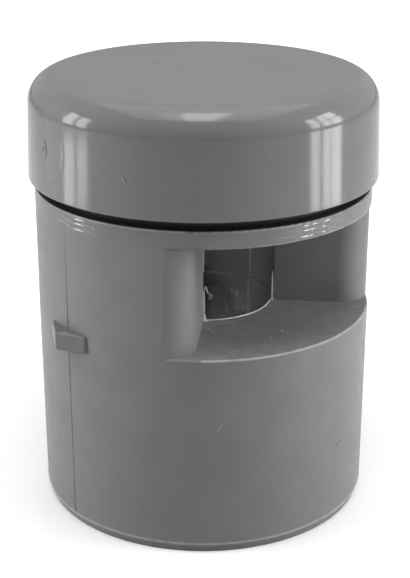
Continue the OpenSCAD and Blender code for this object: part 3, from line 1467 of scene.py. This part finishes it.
@dataclass
class Studio:
    """Pale floor and surroundings, soft lights and the camera at the photograph's viewing angle."""

    camera_place: tuple[float, float, float] = (18.736, -192.352, 105.546)
    camera_pitch: float = 22.796
    camera_azimuth: float = 5.5
    focal_px: float = 1349.06
    principal_y: float = 331.97
    sensor: float = 36.0
    floor_size: float = 6000.0
    floor_colour: str = "#f2f2f2"
    floor_bounce: str = "#a0a0a0"
    floor_glow: float = 0.14
    far_glow: float = 1.0
    glow_reach: tuple[float, float] = (45.0, 560.0)
    surround_colour: str = "#bcbcbc"
    ambient: float = 0.1
    pane_distance: float = 200.0

    def build(self) -> None:
        """Build the camera, world, floor and lights."""
        bpy.context.scene.view_settings.view_transform = "Standard"
        self._camera()
        self._world()
        self._floor()
        for light in self._lights():
            light.build()

    def _camera(self) -> None:
        """Place the camera and frame the picture as the photograph does."""
        bpy.ops.object.camera_add(location=mm(*self.camera_place))
        camera = bpy.context.object
        camera.name = "photo_camera"
        camera.rotation_euler = (math.radians(90 - self.camera_pitch), 0, math.radians(self.camera_azimuth))
        long_side = max(PICTURE)
        camera.data.sensor_width = self.sensor
        camera.data.lens = self.focal_px / long_side * self.sensor
        camera.data.shift_y = (self.principal_y - PICTURE[1] / 2) / long_side
        camera.data.clip_start = MM
        bpy.context.scene.camera = camera

    def _seen(self, tree: Tree) -> Socket:
        """Tell the rays that show the surroundings: camera, glossy and transmission rays.

        Args:
            tree: node tree of the material or world.

        Returns:
            A value that is 1 for those rays.
        """
        path = add_node(tree, "LightPath").outputs
        either = path["Is Camera Ray"]
        for name in ("Is Glossy Ray", "Is Transmission Ray"):
            either = add_node(tree, "Math", {0: either, 1: path[name]}, operation="MAXIMUM").outputs[0]
        return either

    def _world(self) -> None:
        """Make pale surroundings for what is seen, and an even fill for the light on the part."""
        world = bpy.data.worlds.new("pale_surroundings")
        bpy.context.scene.world = world
        world.use_nodes = True
        world.cycles.sampling_method = "NONE"
        tree = world.node_tree
        tree.nodes.clear()
        strength = add_node(
            tree, "MapRange", {"Value": self._seen(tree), "To Min": self.ambient, "To Max": 1.0}
        )
        direct = add_node(tree, "LightPath").outputs["Is Camera Ray"]
        brighter = add_node(tree, "Math", {0: strength.outputs["Result"], 1: direct}, operation="ADD")
        background = add_node(tree, "Background", {"Strength": brighter.outputs[0]})
        background.inputs["Color"].default_value = linear(self.surround_colour)
        add_node(tree, "OutputWorld", {"Surface": background.outputs["Background"]})

    def _floor(self) -> None:
        """Lay a plain pale floor that keeps the part's soft shadow."""
        bpy.ops.mesh.primitive_plane_add(size=self.floor_size * MM)
        floor = started("pale_floor")
        material, tree, shader = blank_material("pale_floor_paint")
        material.cycles.emission_sampling = "NONE"
        seen = self._seen(tree)
        colours = {0: seen, MIX_A: linear(self.floor_bounce), MIX_B: linear(self.floor_colour)}
        paint = add_node(tree, "Mix", colours, data_type="RGBA")
        place = add_node(tree, "TexCoord").outputs["Object"]
        away = add_node(tree, "VectorMath", {0: place}, operation="LENGTH").outputs["Value"]
        near, far = (reach * MM for reach in self.glow_reach)
        limits = {"Value": away, "From Min": near, "From Max": far, "To Max": self.far_glow}
        rise = add_node(tree, "MapRange", limits).outputs["Result"]
        direct = add_node(tree, "LightPath").outputs["Is Camera Ray"]
        distant = add_node(tree, "Math", {0: direct, 1: rise}, operation="MULTIPLY").outputs[0]
        ends = {0: seen, 1: self.floor_glow, 2: distant}
        glow = add_node(tree, "Math", ends, operation="MULTIPLY_ADD")
        tree.links.new(paint.outputs[MIX_OUT], shader.inputs["Base Color"])
        tree.links.new(glow.outputs[0], shader.inputs["Emission Strength"])
        shader.inputs["Emission Color"].default_value = linear("#ffffff")
        shader.inputs["Roughness"].default_value = 1.0
        shader.inputs["Specular IOR Level"].default_value = 0.0
        dress(floor, material)

    def _lights(self) -> list[Softbox]:
        """List the studio's lights.

        Returns:
            The overhead lights, the broad panels, and the rows of panes left and right.
        """
        middle = (0.0, 0.0, 40.0)
        lights = [
            Softbox("overhead_softbox", (0, 40, 520), middle, 560, 560, 1.2),
            Softbox("overhead_pane_1", (-26.5, -85, 420), (-26.5, -85, 0), 35, 240, 4.3),
            Softbox("overhead_pane_2", (26, -85, 420), (26, -85, 0), 58, 240, 4.3),
            Softbox("overhead_glow", (-13.5, -85, 422), (-13.5, -85, 0), 190, 200, 1.0),
            Softbox("front_panel", (60, -420, 305), middle, 300, 80, 2.6, Shine.SOFT),
            Softbox("left_panel", (-420, -120, 220), middle, 320, 420, 2.7, Shine.SOFT),
            Softbox("right_panel", (420, -120, 220), middle, 320, 420, 1.6, Shine.SOFT),
            Softbox("left_wall", (-200, 34, 80), (0, 34, 80), 72, 158, 0.4),
            Softbox("back_panel", (0, 560, 260), middle, 500, 400, 1.4, Shine.SOFT),
            Softbox("window_beam", (24, -120, 98), (3, 8, 24.5), 9, 4, 0.45, Shine.SOFT, 4.0),
        ]
        left, right = ((-40, -7), (-79, -48)), ((-62, -37.5), (-28, -7), (-3.5, 27))
        lights += self._panes("left_upper", -self.pane_distance, left, (48, 158), 5.9, Shine.SOFT)
        lights += self._panes("left_lower", -self.pane_distance, left, (1, 22), 5.0)
        lights += self._panes("right_upper", self.pane_distance, right, (56, 185), 8.0, Shine.SOFT)
        lights += self._panes("right_lower", self.pane_distance, right, (1, 43), 7.3)
        left, right = ((-23.1, -17.1), (-31.1, -25.1)), ((-26.0, -21.5), (-19.5, -15.8), (-14.9, -9.6))
        lights += self._panes("left_crescent", -45, left, (59.8, 70), 6.8, Shine.HIGHLIGHT)
        lights += self._panes("right_crescent", 45, right, (61.3, 70), 8.0, Shine.HIGHLIGHT)
        left, right = ((-21.7, -18.4), (-26.1, -22.7)), ((-22.6, -20.1), (-19.1, -17.0), (-16.8, -14.1))
        lights += self._panes("left_crest", -28, left, (65.9, 69.5), 6.8, Shine.HIGHLIGHT)
        lights += self._panes("right_crest", 28, right, (65.6, 69.7), 8.0, Shine.HIGHLIGHT)
        return lights

    def _panes(
        self,
        name: str,
        x: float,
        spans: Sequence[tuple[float, float]],
        heights: tuple[float, float],
        brightness: float,
        shine: Shine = Shine.FULL,
    ) -> list[Softbox]:
        """Stand a row of upright panes beside the part, facing across it.

        Args:
            name: first part of the panes' names.
            x: how far along X the panes stand, in millimetres.
            spans: near and far end of each pane along Y, in millimetres.
            heights: lower and upper edge of the panes in millimetres.
            brightness: brightness of each pane.
            shine: what each pane gives.

        Returns:
            The panes.
        """
        low, high = heights
        panes = []
        for number, (near, far) in enumerate(spans, 1):
            row = ((near + far) / 2, (low + high) / 2)
            size = (far - near, high - low)
            panes.append(Softbox(f"{name}_{number}", (x, *row), (0, *row), *size, brightness, shine))
        return panes


def main() -> None:
    """Build the studio, dress the part and report each piece."""
    logging.basicConfig(level=logging.INFO, format="%(name)s: %(message)s")
    Studio().build()
    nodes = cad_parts
    # Body: satin, with broad soft streaks, worn edges with a pale painted highlight, dusty floors and painted
    # shade on the neck under the cap
    satin = MouldedPvc(
        "satin_moulded_pvc",
        roughness=0.42,
        specular=0.25,
        layers=(TurnedBand(), LevelDustAndShade(), EdgeWearAndHighlight(), NeckGapShade()),
    )
    # Cap: polished and a little darker, with sharp streaks on its side and a dull level top
    glossy = MouldedPvc(
        "glossy_moulded_pvc",
        roughness=0.13,
        roughness_spread=0.03,
        specular=0.4,
        colour="#727373",
        cloud_colour="#757676",
        wave_depth_mm=0.06,
        layers=(DullTop(), GateHalo()),
    )
    wall, lid = satin.material(), glossy.material()
    dress(nodes["body"], wall)
    dress(nodes["cap"], lid)
    natural = NaturalPolypropylene().material()
    for name in ("valve_plate", "retaining_ring"):
        dress(nodes[name], natural)
    dress(nodes["membrane"], MembraneRubber().material())
    for name in nodes:
        log.info("%s: dressed", name)
    # Nibs: between the two, a little darker grey as painted shade, with dark painted shade smeared on their
    # level tops
    nib_top_shade = LevelDustAndShade(
        floor_z=31.52, reach=0.05, outer_r=40.0, patch_mm=2.0, bare=0.45, colour="#3a3b3b", share=0.3
    )
    nib = MouldedPvc(
        "nib_pvc_painted_shade", roughness=0.36, specular=0.3, colour="#707171", layers=(nib_top_shade,)
    ).material()
    paled_flash_and_highlight, torn = StressPaledPvcAndHighlight().material(), CrumbledPvc().material()
    # Turned rings: burnished by the cutter, so that they catch the light as fine glints
    trimmed = MouldedPvc("turned_moulded_pvc", roughness=0.1, roughness_spread=0.03, specular=1.0).material()
    assemblies: list[tuple[SubAssembly, tuple[Material, ...]]] = [
        *((PartingSeam(line), (wall, nib)) for line in PartingLine),
        (MouldFlash(), (paled_flash_and_highlight, paled_flash_and_highlight, wall)),
        # Core lines: their pale crumb finish is a painted highlight
        (CoreLinesAndHighlight(), (torn,)),
        (TurnedRings(), (trimmed,)),
        (Litter(), (torn, CharredPvc().material())),
        (GateMark(), (wall,)),
    ]
    for assembly, finishes in assemblies:
        assembly.dress(finishes, assembly.build())


if __name__ == "__main__":
    main()
